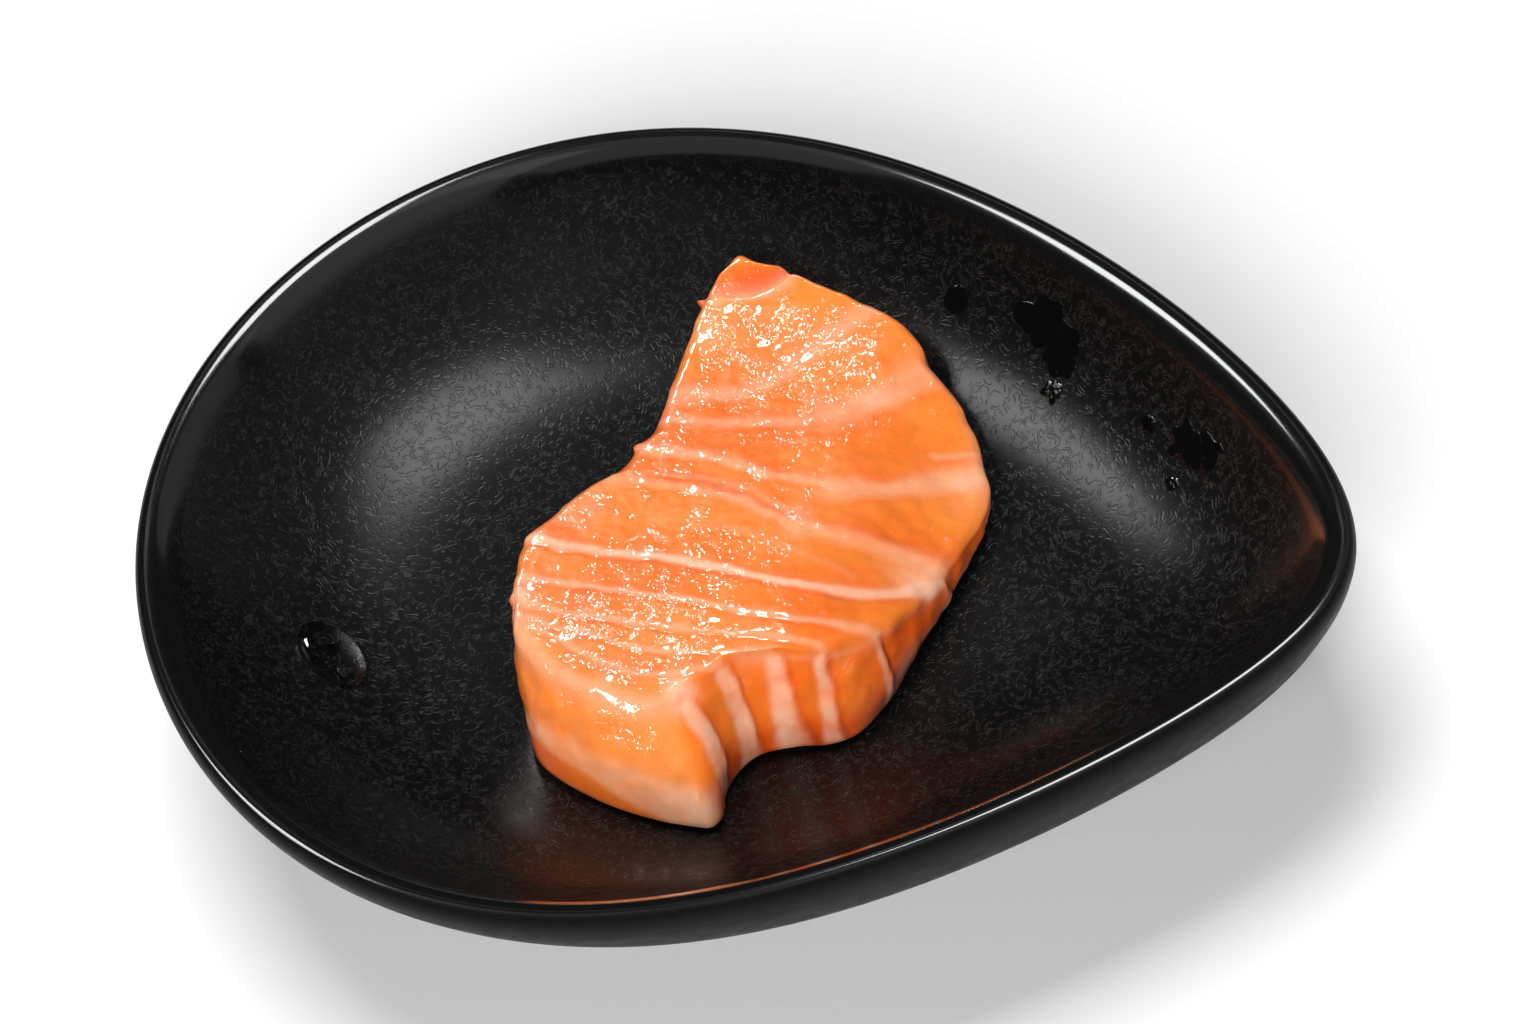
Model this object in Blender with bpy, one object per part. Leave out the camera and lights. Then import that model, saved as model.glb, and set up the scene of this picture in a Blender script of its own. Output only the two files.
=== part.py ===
"""Thick slice of raw salmon on a black egg-shaped dish, with one drop of water beside it.

The origin is under the middle of the dish, on the surface it stands on. +X points along
the dish to its narrow end and +Z is up. Lengths are in metres, and the outlines that are
given as points are in millimetres and are scaled by MM.
"""
import math

import bmesh
import bpy
import numpy as np

MM = 0.001
GAP = 0.0003
# Points between two neighbours of a hand-placed curve, and points along a groove
CURVE_STEPS = 24
GROOVE_POINTS = 30

# Dish: the crest of the rim is an egg curve, and the sections below are in millimetres
CREST_HALF_LENGTH = 0.075
CREST_WIDTH_RATIO = 0.759
CREST_NARROWING = (-0.267, -0.074)
CREST_SKEW = (0.030, -0.017)
CREST_TABLE_STEPS = 720
DISH_STEPS = 80
INNER_FLOOR = 0.0055
INNER_RISE = 0.0195
INNER_POWER = 5.0
LIP_INSIDE = 3.0
INNER_LOOPS = (1.0, 0.94, 0.88, 0.82, 0.75, 0.66, 0.54, 0.40, 0.22)
# Distance out from the crest, and height
LIP_SECTION = (
    (1.2, 25.2), (1.0, 26.1), (0.55, 26.75), (0.0, 27.0),
    (-1.1, 26.95), (-2.1, 26.7), (-2.65, 26.25), (-2.95, 25.6),
)
# Scale of the widest outline, and height, from the foot's hollow to the widest point
FOOT_SECTION = (
    (0.30, 2.0), (0.566, 2.0), (0.572, 0.5), (0.580, 0.0), (0.620, 0.0), (0.628, 0.5), (0.636, 3.8),
)
WALL_SECTION = (
    (0.650, 4.7), (0.700, 5.5), (0.767, 7.0), (0.825, 9.0), (0.878, 12.0), (0.920, 15.0),
    (0.973, 20.0), (0.996, 23.4),
)
# The wall and foot sit a little off the middle of the rim, fully from this share inwards
WALL_LEAN = (0.0022, -0.0003)
LEAN_FULL_AT = 1.0 / 12.0

# Slice of salmon: outlines in millimetres, seen from above, and where they lie on the dish
SLICE_PLACE = (0.0002, -0.0006)
TOP_FRONT = (
    (-24.8, -18.0), (-23.2, -20.2), (-18.0, -23.9), (-12.0, -26.4), (-6.0, -27.6), (-2.1, -26.6),
)
TOP_RIGHT = (
    (-2.1, -26.6), (0.0, -23.4), (3.4, -19.2), (7.5, -17.8), (12.0, -16.8), (15.5, -14.8),
    (18.8, -11.4), (22.2, -5.1), (25.4, 3.8), (27.8, 14.7), (27.1, 20.3), (24.6, 26.0),
    (21.2, 31.5), (17.0, 35.2), (15.0, 38.6), (9.4, 41.6), (2.9, 44.4), (-5.0, 47.0),
)
TOP_BACK = ((-12.9, 45.6), (-10.5, 48.0), (-7.5, 47.5), (-5.0, 47.0))
TOP_LEFT = (
    (-24.8, -18.0), (-26.6, -10.0), (-27.0, -3.4), (-25.2, 1.2), (-21.9, 7.4), (-18.8, 10.6),
    (-16.9, 15.7), (-15.8, 20.0), (-15.6, 30.0), (-14.8, 39.8), (-12.9, 45.6),
)
FOOT_FRONT = ((-24.0, -21.6), (-20.9, -28.4), (-12.5, -33.0), (-4.3, -35.3), (2.9, -36.2))
FOOT_RIGHT = (
    (2.9, -36.2), (3.7, -34.2), (3.1, -30.4), (3.8, -26.6), (6.0, -23.4), (10.3, -21.7),
    (14.3, -20.9), (17.6, -18.7), (20.5, -12.9), (22.3, -6.0), (24.4, 2.8), (26.2, 10.0),
    (26.3, 15.0), (25.3, 20.5), (22.6, 26.5), (18.5, 31.5), (13.5, 36.5), (6.0, 40.6), (-4.8, 45.0),
)
FOOT_BACK = ((-12.0, 44.0), (-10.0, 46.0), (-7.4, 45.6), (-4.8, 45.0))
FOOT_LEFT = (
    (-24.0, -21.6), (-25.4, -14.0), (-25.8, -6.0), (-23.6, 1.0), (-20.0, 6.6), (-17.2, 10.6),
    (-15.4, 16.0), (-14.8, 24.0), (-14.6, 32.0), (-13.6, 40.0), (-12.0, 44.0),
)
FOOT_CENTRE = (-4.0, 0.0)
THICKEST = 0.0155
# The slice thins towards its back from this line, and towards its right edge
THIN_BACK_FROM = -0.012
THIN_BACK_RATE = 0.15
THIN_RIGHT_FROM = 0.008
THIN_RIGHT_OVER = 0.022
THIN_RIGHT_BY = 0.007
EDGE_ROUND = 0.0016
EDGE_DROP = 0.0008
SIDE_BULGE = 0.0007
SALMON_ACROSS = 34
SALMON_ALONG = 50
SIDE_LOOPS = (0.12, 0.35, 0.60, 0.85)
UNDER_LOOPS = (0.97, 0.80, 0.52, 0.24)

# Grooves where the flakes of the flesh part: depth, half width, and the points they run through
FLAKE_GROOVES = (
    (0.5, 1.3, ((-14.4, 25.8), (-8.0, 26.6), (-3.0, 29.0), (1.0, 33.5), (5.0, 38.5), (8.5, 41.3))),
    (0.4, 1.2, ((-15.0, 20.7), (-5.3, 21.0), (2.0, 22.1), (9.4, 25.3), (12.4, 28.5), (17.0, 33.5))),
    (0.5, 1.2, ((-16.0, 15.0), (-5.3, 14.1), (0.6, 11.8), (9.4, 11.2), (15.3, 13.5), (25.5, 21.5))),
    (0.6, 1.2, ((-18.3, 9.2), (-9.0, 8.4), (-1.5, 6.8), (5.0, 4.2), (12.0, 3.3), (24.0, 3.4))),
    (0.4, 1.1, ((-26.0, -3.0), (-12.0, -4.4), (-1.5, -5.3), (9.0, -6.8), (16.5, -5.9), (24.0, -0.6))),
    (0.4, 1.0, ((-25.5, -10.2), (-9.0, -11.0), (1.5, -12.0), (9.0, -12.6), (18.5, -11.4))),
    (0.4, 1.0, ((-25.0, -13.8), (-12.0, -15.5), (0.0, -15.9), (12.5, -15.3))),
    (0.4, 1.0, ((-24.0, -17.2), (-14.1, -21.3), (-6.0, -23.3), (1.5, -20.8))),
)

# Water drop: a low dome, longer down the slope of the dish
DROP_CENTRE = (-0.0503, -0.0178)
DROP_HALF_LENGTH = 0.0057
DROP_HALF_WIDTH = 0.0036
DROP_TURN = math.radians(-45.0)
DROP_HEIGHT = 0.0020
DROP_FULLNESS = 2.5
DROP_STEPS = 28
DROP_UNDER_LOOPS = (0.5, 1.0)
DROP_DOME_LOOPS = (0.99, 0.93, 0.80, 0.58, 0.30)


def crest_plan(angles):
    """Egg curve of the rim's crest, before it is centred."""
    narrow, flat = CREST_NARROWING
    skew_x, skew_y = CREST_SKEW
    cosine = np.cos(angles)
    taper = 1.0 + narrow * cosine + flat * np.cos(2 * angles)
    x = cosine + skew_x * np.sin(2 * angles)
    y = CREST_WIDTH_RATIO * np.sin(angles) * taper + skew_y * (np.cos(2 * angles) - 1.0)
    return np.stack([x, y], axis=-1)


def crest(angles):
    """Crest points centred on the origin and scaled to the real length."""
    whole = crest_plan(np.linspace(0.0, 2 * math.pi, CREST_TABLE_STEPS, endpoint=False))
    low, high = whole.min(axis=0), whole.max(axis=0)
    scale = CREST_HALF_LENGTH / ((high[0] - low[0]) / 2)
    return (crest_plan(angles) - (low + high) / 2) * scale


def crest_offset(angles, distance):
    """Crest moved outwards by a distance, along its normal."""
    step = 1e-4
    along = crest(angles + step) - crest(angles - step)
    along /= np.linalg.norm(along, axis=-1, keepdims=True)
    normal = np.stack([along[..., 1], -along[..., 0]], axis=-1)
    return crest(angles) + normal * distance


RIM_TABLE_ANGLES = np.linspace(0.0, 2 * math.pi, CREST_TABLE_STEPS, endpoint=False)
INNER_EDGE = crest_offset(RIM_TABLE_ANGLES, -LIP_INSIDE * MM)
INNER_EDGE_DIRECTION = np.unwrap(np.arctan2(INNER_EDGE[:, 1], INNER_EDGE[:, 0]))
INNER_EDGE_RADIUS = np.hypot(INNER_EDGE[:, 0], INNER_EDGE[:, 1])


def dish_surface(x, y):
    """Height of the dish's inner surface: a nearly flat floor that curves up into the wall."""
    direction = np.arctan2(y, x)
    edge = np.interp(direction, INNER_EDGE_DIRECTION, INNER_EDGE_RADIUS, period=2 * math.pi)
    share = np.hypot(x, y) / edge
    return INNER_FLOOR + INNER_RISE * share ** INNER_POWER


def make_material(name, colour, roughness):
    material = bpy.data.materials.new(name)
    material.use_nodes = True
    shader = material.node_tree.nodes["Principled BSDF"]
    shader.inputs["Base Color"].default_value = (*colour, 1.0)
    shader.inputs["Roughness"].default_value = roughness
    shader.inputs["Metallic"].default_value = 0.0
    material.diffuse_color = (*colour, 1.0)
    return material


def add_object(name, points, faces, material, sharp_angle):
    """Closed, smooth-shaded object from points and faces."""
    mesh = bpy.data.meshes.new(name)
    mesh.from_pydata([tuple(map(float, point)) for point in points], [], faces)
    shape = bmesh.new()
    shape.from_mesh(mesh)
    bmesh.ops.recalc_face_normals(shape, faces=shape.faces)
    bmesh.ops.triangulate(shape, faces=shape.faces)
    shape.to_mesh(mesh)
    shape.free()
    mesh.shade_smooth()
    mesh.set_sharp_from_angle(angle=sharp_angle)
    mesh.materials.append(material)
    thing = bpy.data.objects.new(name, mesh)
    bpy.context.collection.objects.link(thing)
    return thing


def loft_faces(first, count, loops):
    """Quads between neighbouring loops of equal length, where the first starts at an index."""
    faces = []
    for level in range(loops - 1):
        low = first + level * count
        for step in range(count):
            after = (step + 1) % count
            faces.append((low + step, low + after, low + count + after, low + count + step))
    return faces


def fan_faces(loop_start, count, centre):
    """Triangles from a loop to one centre point."""
    return [(loop_start + step, loop_start + (step + 1) % count, centre) for step in range(count)]


def with_height(plan, height):
    """Plan points with one height, or with one each."""
    heights = np.broadcast_to(height, plan.shape[:1])
    return np.column_stack([plan, heights])


def make_dish(material):
    """One shell, lofted from the hollow of the foot over the rim to the floor."""
    angles = np.linspace(0.0, 2 * math.pi, DISH_STEPS, endpoint=False)
    widest = crest_offset(angles, LIP_SECTION[0][0] * MM)
    inner_edge = crest_offset(angles, -LIP_INSIDE * MM)
    loops = []
    for scale, height in FOOT_SECTION + WALL_SECTION:
        lean = np.array(WALL_LEAN) * min(1.0, (1.0 - scale) / LEAN_FULL_AT)
        loops.append(with_height(widest * scale + lean, height * MM))
    for distance, height in LIP_SECTION:
        loops.append(with_height(crest_offset(angles, distance * MM), height * MM))
    for share in INNER_LOOPS:
        plan = inner_edge * share
        loops.append(with_height(plan, dish_surface(plan[:, 0], plan[:, 1])))
    points = np.concatenate(loops)
    under_centre = len(points)
    floor_centre = under_centre + 1
    centres = [(WALL_LEAN[0], WALL_LEAN[1], FOOT_SECTION[0][1] * MM), (0.0, 0.0, INNER_FLOOR)]
    faces = loft_faces(0, DISH_STEPS, len(loops))
    faces += fan_faces(0, DISH_STEPS, under_centre)
    faces += fan_faces((len(loops) - 1) * DISH_STEPS, DISH_STEPS, floor_centre)
    return add_object("dish", np.concatenate([points, centres]), faces, material, math.radians(60))


def smooth_curve(points_mm, count):
    """Evenly spaced points along a smooth curve through hand-placed points."""
    control = np.array(points_mm) * MM + SLICE_PLACE
    padded = np.vstack([2 * control[0] - control[1], control, 2 * control[-1] - control[-2]])
    fine = []
    for index in range(len(control) - 1):
        before, start, end, after = padded[index:index + 4]
        for t in np.linspace(0.0, 1.0, CURVE_STEPS, endpoint=False):
            bend = (2 * before - 5 * start + 4 * end - after) * t * t
            twist = (3 * start - before - 3 * end + after) * t ** 3
            fine.append(0.5 * (2 * start + (end - before) * t + bend + twist))
    fine = np.array(fine + [control[-1]])
    length = np.concatenate([[0.0], np.cumsum(np.linalg.norm(np.diff(fine, axis=0), axis=1))])
    wanted = np.linspace(0.0, length[-1], count)
    return np.stack([np.interp(wanted, length, fine[:, axis]) for axis in (0, 1)], axis=-1)


def four_sides(front, right, back, left):
    """The four sides of a patch: front and back run left to right, left and right run to the back."""
    across = SALMON_ACROSS + 1
    along = SALMON_ALONG + 1
    return (smooth_curve(front, across), smooth_curve(right, along),
            smooth_curve(back, across), smooth_curve(left, along))


def outline(sides):
    """One loop round the four sides, anticlockwise from the front left corner."""
    front, right, back, left = sides
    return np.concatenate([front[:-1], right[:-1], back[:0:-1], left[:0:-1]])


def patch(sides):
    """Plan points that fill four sides, as rows from front to back."""
    front, right, back, left = sides
    u = np.linspace(0.0, 1.0, len(front))[None, :, None]
    v = np.linspace(0.0, 1.0, len(left))[:, None, None]
    between_rows = (1 - v) * front[None] + v * back[None]
    between_columns = (1 - u) * left[:, None] + u * right[:, None]
    corners = ((1 - u) * (1 - v) * front[0] + u * (1 - v) * front[-1]
               + (1 - u) * v * back[0] + u * v * back[-1])
    return between_rows + between_columns - corners


def distance_to_line(plan, line):
    """Distance of each plan point from a polyline."""
    nearest = np.full(plan.shape[:-1], np.inf)
    for start, end in zip(line[:-1], line[1:]):
        run = end - start
        share = np.clip(((plan - start) @ run) / (run @ run), 0.0, 1.0)
        foot = start + share[..., None] * run
        nearest = np.minimum(nearest, np.linalg.norm(plan - foot, axis=-1))
    return nearest


def smooth_step(value):
    share = np.clip(value, 0.0, 1.0)
    return share * share * (3.0 - 2.0 * share)


def slice_thickness(x, y):
    """Thickness of the slice: full at its front, less towards its back and its right edge."""
    to_back = THIN_BACK_RATE * np.maximum(0.0, y - THIN_BACK_FROM)
    to_right = THIN_RIGHT_BY * smooth_step((x - THIN_RIGHT_FROM) / THIN_RIGHT_OVER)
    return THICKEST - to_back - to_right


def slice_top(plan):
    """Height of the slice's top face, with its grooves."""
    x, y = plan[..., 0], plan[..., 1]
    height = dish_surface(x, y) + GAP + slice_thickness(x, y)
    for depth, half_width, line in FLAKE_GROOVES:
        distance = distance_to_line(plan, smooth_curve(line, GROOVE_POINTS))
        height -= depth * MM * np.exp(-(distance / (half_width * MM)) ** 2)
    return height


def edge_distance(plan):
    """Distance of each point of a patch from the nearest of its four sides, along its rows."""
    rows, columns = plan.shape[:2]
    u = np.linspace(0.0, 1.0, columns)[None, :]
    v = np.linspace(0.0, 1.0, rows)[:, None]
    row_length = np.linalg.norm(plan[:, -1] - plan[:, 0], axis=-1)[:, None]
    column_length = np.linalg.norm(plan[-1] - plan[0], axis=-1)[None, :]
    return np.minimum(np.minimum(u, 1 - u) * row_length, np.minimum(v, 1 - v) * column_length)


def outward_normals(loop):
    """Outward unit normals in plan of an anticlockwise loop."""
    along = np.roll(loop, -1, axis=0) - np.roll(loop, 1, axis=0)
    along /= np.linalg.norm(along, axis=1, keepdims=True)
    return np.stack([along[:, 1], -along[:, 0]], axis=-1)


def patch_boundary(rows, columns):
    """Indices of a patch's boundary points, in the order of outline()."""
    front = list(range(columns - 1))
    right = [row * columns + columns - 1 for row in range(rows - 1)]
    back = [(rows - 1) * columns + column for column in range(columns - 1, 0, -1)]
    left = [row * columns for row in range(rows - 1, 0, -1)]
    return front + right + back + left


def make_salmon(material):
    """Thick slice that lies on the dish: grooved top, slanting sides and a fitted underside."""
    top_sides = four_sides(TOP_FRONT, TOP_RIGHT, TOP_BACK, TOP_LEFT)
    plan = patch(top_sides)
    rows, columns = plan.shape[:2]
    rounding = np.clip(1.0 - edge_distance(plan) / EDGE_ROUND, 0.0, 1.0)
    top = np.concatenate([plan, (slice_top(plan) - EDGE_DROP * rounding ** 2)[..., None]], axis=-1)
    points = [top.reshape(-1, 3)]
    faces = []
    for row in range(rows - 1):
        for column in range(columns - 1):
            low = row * columns + column
            faces.append((low, low + 1, low + columns + 1, low + columns))

    boundary = patch_boundary(rows, columns)
    edge = points[0][boundary]
    foot = outline(four_sides(FOOT_FRONT, FOOT_RIGHT, FOOT_BACK, FOOT_LEFT))
    foot_height = dish_surface(foot[:, 0], foot[:, 1]) + GAP
    foot_points = with_height(foot, foot_height + EDGE_DROP)
    normals = with_height(outward_normals(foot), 0.0)
    for share in SIDE_LOOPS:
        swell = SIDE_BULGE * math.sin(math.pi * share)
        points.append(edge * (1 - share) + foot_points * share + normals * swell)
    points.append(foot_points)
    centre = np.array(FOOT_CENTRE) * MM + SLICE_PLACE
    for share in UNDER_LOOPS:
        under = centre + (foot - centre) * share
        points.append(with_height(under, dish_surface(under[:, 0], under[:, 1]) + GAP))
    points.append([(*centre, float(dish_surface(*centre)) + GAP)])

    count = len(boundary)
    first = rows * columns
    for step in range(count):
        after = (step + 1) % count
        faces.append((boundary[step], boundary[after], first + after, first + step))
    loops = len(SIDE_LOOPS) + 1 + len(UNDER_LOOPS)
    faces += loft_faces(first, count, loops)
    faces += fan_faces(first + (loops - 1) * count, count, first + loops * count)
    return add_object("salmon_slice", np.concatenate(points), faces, material, math.radians(70))


def make_drop(material):
    """Low dome of water whose underside follows the dish."""
    angles = np.linspace(0.0, 2 * math.pi, DROP_STEPS, endpoint=False)
    oval = np.stack([DROP_HALF_LENGTH * np.cos(angles), DROP_HALF_WIDTH * np.sin(angles)], axis=-1)
    turn = np.array([[math.cos(DROP_TURN), math.sin(DROP_TURN)],
                     [-math.sin(DROP_TURN), math.cos(DROP_TURN)]])
    oval = oval @ turn
    centre = np.array(DROP_CENTRE)
    loops = []
    for share in DROP_UNDER_LOOPS:
        plan = centre + oval * share
        loops.append(with_height(plan, dish_surface(plan[:, 0], plan[:, 1]) + GAP))
    for share in DROP_DOME_LOOPS:
        plan = centre + oval * share
        swell = DROP_HEIGHT * math.sqrt(1.0 - share ** DROP_FULLNESS)
        loops.append(with_height(plan, dish_surface(plan[:, 0], plan[:, 1]) + GAP + swell))
    points = np.concatenate(loops)
    base = float(dish_surface(*centre)) + GAP
    centres = [(*centre, base), (*centre, base + DROP_HEIGHT)]
    faces = loft_faces(0, DROP_STEPS, len(loops))
    faces += fan_faces(0, DROP_STEPS, len(points))
    faces += fan_faces((len(loops) - 1) * DROP_STEPS, DROP_STEPS, len(points) + 1)
    return add_object("water_drop", np.concatenate([points, centres]), faces, material, math.radians(60))


def main():
    for thing in list(bpy.data.objects):
        bpy.data.objects.remove(thing, do_unlink=True)
    make_dish(make_material("black_glaze", (0.012, 0.012, 0.012), 0.35))
    make_salmon(make_material("salmon_flesh", (0.95, 0.26, 0.06), 0.30))
    make_drop(make_material("water", (0.02, 0.02, 0.02), 0.02))


main()
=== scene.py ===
"""Raw salmon slice on a black egg-shaped dish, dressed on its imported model.

Lengths are in metres. Outlines and lines that are given as points are in millimetres.
"""
import math

import bpy
import numpy as np
from mathutils import Matrix, Vector, noise


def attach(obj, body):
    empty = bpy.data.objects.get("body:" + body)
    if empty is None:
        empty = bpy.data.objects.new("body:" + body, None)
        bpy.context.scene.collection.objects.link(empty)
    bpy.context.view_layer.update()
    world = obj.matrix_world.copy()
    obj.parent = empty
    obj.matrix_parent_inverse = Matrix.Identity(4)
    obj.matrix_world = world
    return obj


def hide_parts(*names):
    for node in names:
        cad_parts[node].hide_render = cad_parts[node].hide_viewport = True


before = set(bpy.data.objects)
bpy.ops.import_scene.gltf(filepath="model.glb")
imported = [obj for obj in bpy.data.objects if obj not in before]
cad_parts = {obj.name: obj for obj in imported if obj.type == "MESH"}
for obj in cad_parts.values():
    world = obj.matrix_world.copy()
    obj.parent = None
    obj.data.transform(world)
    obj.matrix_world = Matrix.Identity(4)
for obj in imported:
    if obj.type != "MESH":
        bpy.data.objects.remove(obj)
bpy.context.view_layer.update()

MM = 0.001
GAP = 0.0003

# Dish, as in the solid model
CREST_HALF_LENGTH = 0.075
CREST_WIDTH_RATIO = 0.759
CREST_NARROWING = (-0.267, -0.074)
CREST_SKEW = (0.03, -0.017)
CREST_TABLE_STEPS = 720
INNER_FLOOR = 0.0055
INNER_RISE = 0.0195
INNER_POWER = 5.0
LIP_INSIDE = 3.0
LIP_SECTION = (
    (1.2, 25.2), (1.0, 26.1), (0.55, 26.75), (0.0, 27.0),
    (-0.7, 26.93), (-1.4, 26.66), (-2.0, 26.22), (-2.5, 25.72), (-2.95, 25.15),
)
LIP_CREST = 3
FOOT_SECTION = (
    (0.3, 2.0), (0.566, 2.0), (0.572, 0.5), (0.58, 0.0), (0.62, 0.0), (0.628, 0.5), (0.636, 3.8),
)
WALL_SECTION = (
    (0.65, 4.7), (0.7, 5.5), (0.767, 7.0), (0.825, 9.0), (0.878, 12.0), (0.92, 15.0),
    (0.973, 20.0), (0.996, 23.4),
)
WALL_LEAN = (0.0022, -0.0003)
LEAN_FULL_AT = 1.0 / 12.0
DISH_STEPS = 320
SECTION_STEPS = 4
INNER_STEPS = 56
INNER_TOP_SHARE = 0.985
# Where the inside's look begins and the lip's gloss ends: loops before the lip's end, and over how many
INSIDE_BEGINS = (9, 11.0)
LIP_ENDS = (6, 7.0)

# Slice, as in the solid model
SLICE_PLACE = (0.0002, -0.0006)
TOP_FRONT = (
    (-24.8, -18.0), (-23.2, -20.2), (-18.0, -23.9), (-12.0, -26.4), (-6.0, -27.6), (-2.1, -26.6),
)
TOP_RIGHT = (
    (-2.1, -26.6), (0.0, -23.4), (3.4, -19.2), (7.5, -17.8), (12.0, -16.8), (15.5, -14.8),
    (18.8, -11.4), (22.2, -5.1), (25.4, 3.8), (27.8, 14.7), (27.1, 20.3), (24.6, 26.0),
    (21.2, 31.5), (17.0, 35.2), (15.0, 38.6), (9.4, 41.6), (2.9, 44.4), (-5.0, 47.0),
)
TOP_BACK = ((-12.9, 45.6), (-10.5, 48.0), (-7.5, 47.5), (-5.0, 47.0))
TOP_LEFT = (
    (-24.8, -18.0), (-26.6, -10.0), (-27.0, -3.4), (-25.2, 1.2), (-21.9, 7.4), (-18.8, 10.6),
    (-16.9, 15.7), (-15.8, 20.0), (-15.6, 30.0), (-14.8, 39.8), (-12.9, 45.6),
)
FOOT_FRONT = ((-24.0, -21.6), (-20.9, -28.4), (-12.5, -33.0), (-4.3, -35.3), (2.9, -36.2))
FOOT_RIGHT = (
    (2.9, -36.2), (3.7, -34.2), (3.1, -30.4), (3.8, -26.6), (6.0, -23.4), (10.3, -21.7),
    (14.3, -20.9), (17.6, -18.7), (20.5, -12.9), (22.3, -6.0), (24.4, 2.8), (26.2, 10.0),
    (26.3, 15.0), (25.3, 20.5), (22.6, 26.5), (18.5, 31.5), (13.5, 36.5), (6.0, 40.6), (-4.8, 45.0),
)
FOOT_BACK = ((-12.0, 44.0), (-10.0, 46.0), (-7.4, 45.6), (-4.8, 45.0))
FOOT_LEFT = (
    (-24.0, -21.6), (-25.4, -14.0), (-25.8, -6.0), (-23.6, 1.0), (-20.0, 6.6), (-17.2, 10.6),
    (-15.4, 16.0), (-14.8, 24.0), (-14.6, 32.0), (-13.6, 40.0), (-12.0, 44.0),
)
FOOT_CENTRE = (-4.0, 0.0)
THICKEST = 0.0155
THIN_BACK_FROM = -0.012
THIN_BACK_RATE = 0.15
THIN_RIGHT_FROM = 0.008
THIN_RIGHT_OVER = 0.022
THIN_RIGHT_BY = 0.007
EDGE_ROUND = 0.0016
EDGE_DROP = 0.0008
FRONT_ROUND = 0.004
FRONT_DROP = 0.0009
SIDE_BULGE = 0.0007
EDGE_UNEVEN = 0.0003
CORNER_POINTS = 4
FRONT_RUN_OUT = 36
CURVE_STEPS = 24
LINE_STEPS = 40
SALMON_ACROSS = 200
SALMON_ALONG = 280
SIDE_STEPS = 22
UNDER_LOOPS = (0.97, 0.8, 0.52, 0.24)

# How the lines on top wander: size of the noise, reach, and a seed for each direction
WANDER = (
    (0.006, 0.00035, (3.1, 8.7)),
    (0.0016, 0.00012, (5.3, 1.9)),
)
# Unevenness of the top: size of the noise, height and seed
TOP_UNEVEN = (
    (0.0055, 0.00022, 7.7),
    (0.0021, 0.00009, 9.1),
    (0.0011, 0.00004, 3.7),
)
CREASE_WIDTH = 0.00032
DIP_WIDTH = 0.0013
MARKS_FADE_FROM_EDGE = 0.0018
FLAKE_STEP_WIDTH = 0.0016

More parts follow.
